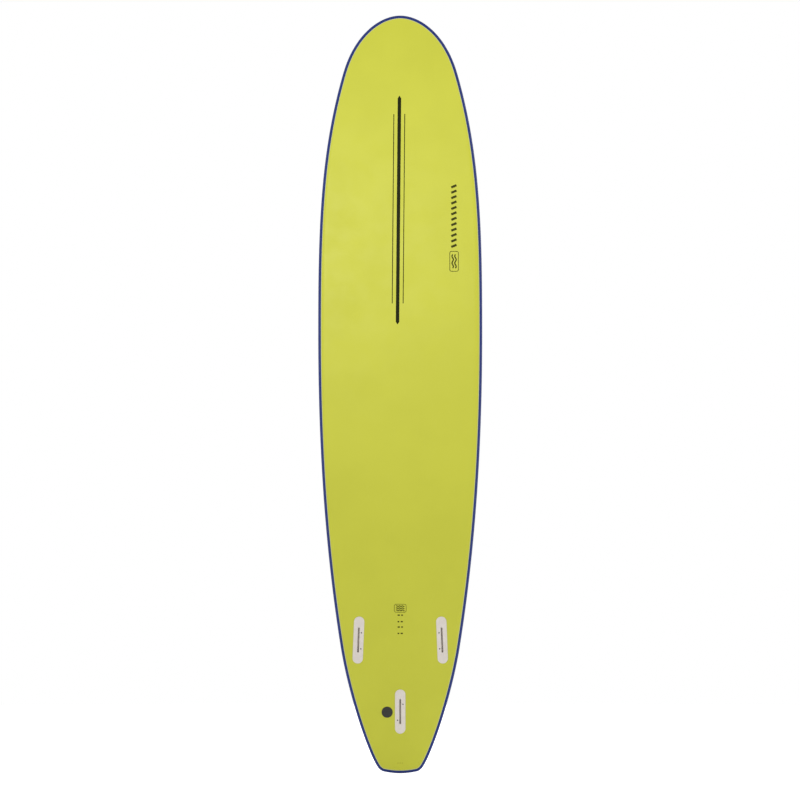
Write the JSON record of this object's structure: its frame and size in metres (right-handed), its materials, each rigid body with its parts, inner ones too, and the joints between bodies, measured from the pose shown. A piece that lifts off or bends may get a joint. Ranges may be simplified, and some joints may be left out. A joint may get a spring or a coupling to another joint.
{
  "type": "surfboard",
  "caption": "Long foam-core surfboard with a soft blue deck and rails, a slick lime bottom, empty fin boxes with grub screws, and a leash plug.",
  "frame": {"origin": "under the middle of the board's depth, at the tail's end on the centreline", "axes": "+Z from the tail to the nose, +Y from the bottom to the deck, +X to the surfer's left"},
  "size_m": [0.593, 0.1395, 2.7432],
  "materials": {
    "deck_foam": "closed-cell foam, fine embossed texture, no shine",
    "bottom_slick": "smooth slick sheet, soft shine",
    "core_foam": "beaded foam",
    "stringer_wood": "plain plywood",
    "box_plastic": "moulded, satin",
    "screw_steel": "stainless, satin",
    "bar_steel": "stainless, polished",
    "leash_plastic": "moulded, fine matt"
  },
  "bodies": {
    "board": {"core_left": "core_foam", "core_centre": "core_foam", "core_right": "core_foam", "stringer_left": "stringer_wood", "stringer_right": "stringer_wood", "deck_skin": "deck_foam", "bottom_slick": "bottom_slick", "fin_box_left": "box_plastic", "fin_box_right": "box_plastic", "fin_box_centre": "box_plastic", "leash_base": "leash_plastic", "leash_cup": "leash_plastic", "leash_bar": "bar_steel", "leash_screw": "screw_steel"},
    "grub_left_front": {"fin_screw_left_front": "screw_steel"},
    "grub_left_rear": {"fin_screw_left_rear": "screw_steel"},
    "grub_right_front": {"fin_screw_right_front": "screw_steel"},
    "grub_right_rear": {"fin_screw_right_rear": "screw_steel"},
    "grub_centre_front": {"fin_screw_centre_front": "screw_steel"},
    "grub_centre_rear": {"fin_screw_centre_rear": "screw_steel"}
  },
  "joints": [
    {"name": "grub_left_front_travel", "type": "slide", "parent": "board", "child": "grub_left_front", "axis": [-0.3417, -0.9379, -0.0594], "range_m": [-0.004, 0.0006]},
    {"name": "grub_left_rear_travel", "type": "slide", "parent": "board", "child": "grub_left_rear", "axis": [-0.3417, -0.9379, -0.0594], "range_m": [-0.004, 0.0006]},
    {"name": "grub_right_front_travel", "type": "slide", "parent": "board", "child": "grub_right_front", "axis": [0.3417, -0.9379, -0.0594], "range_m": [-0.004, 0.0006]},
    {"name": "grub_right_rear_travel", "type": "slide", "parent": "board", "child": "grub_right_rear", "axis": [0.3417, -0.9379, -0.0594], "range_m": [-0.004, 0.0006]},
    {"name": "grub_centre_front_travel", "type": "slide", "parent": "board", "child": "grub_centre_front", "axis": [0.342, -0.9369, -0.0722], "range_m": [-0.004, 0.0006]},
    {"name": "grub_centre_rear_travel", "type": "slide", "parent": "board", "child": "grub_centre_rear", "axis": [-0.342, -0.9369, -0.0722], "range_m": [-0.004, 0.0006]}
  ]
}
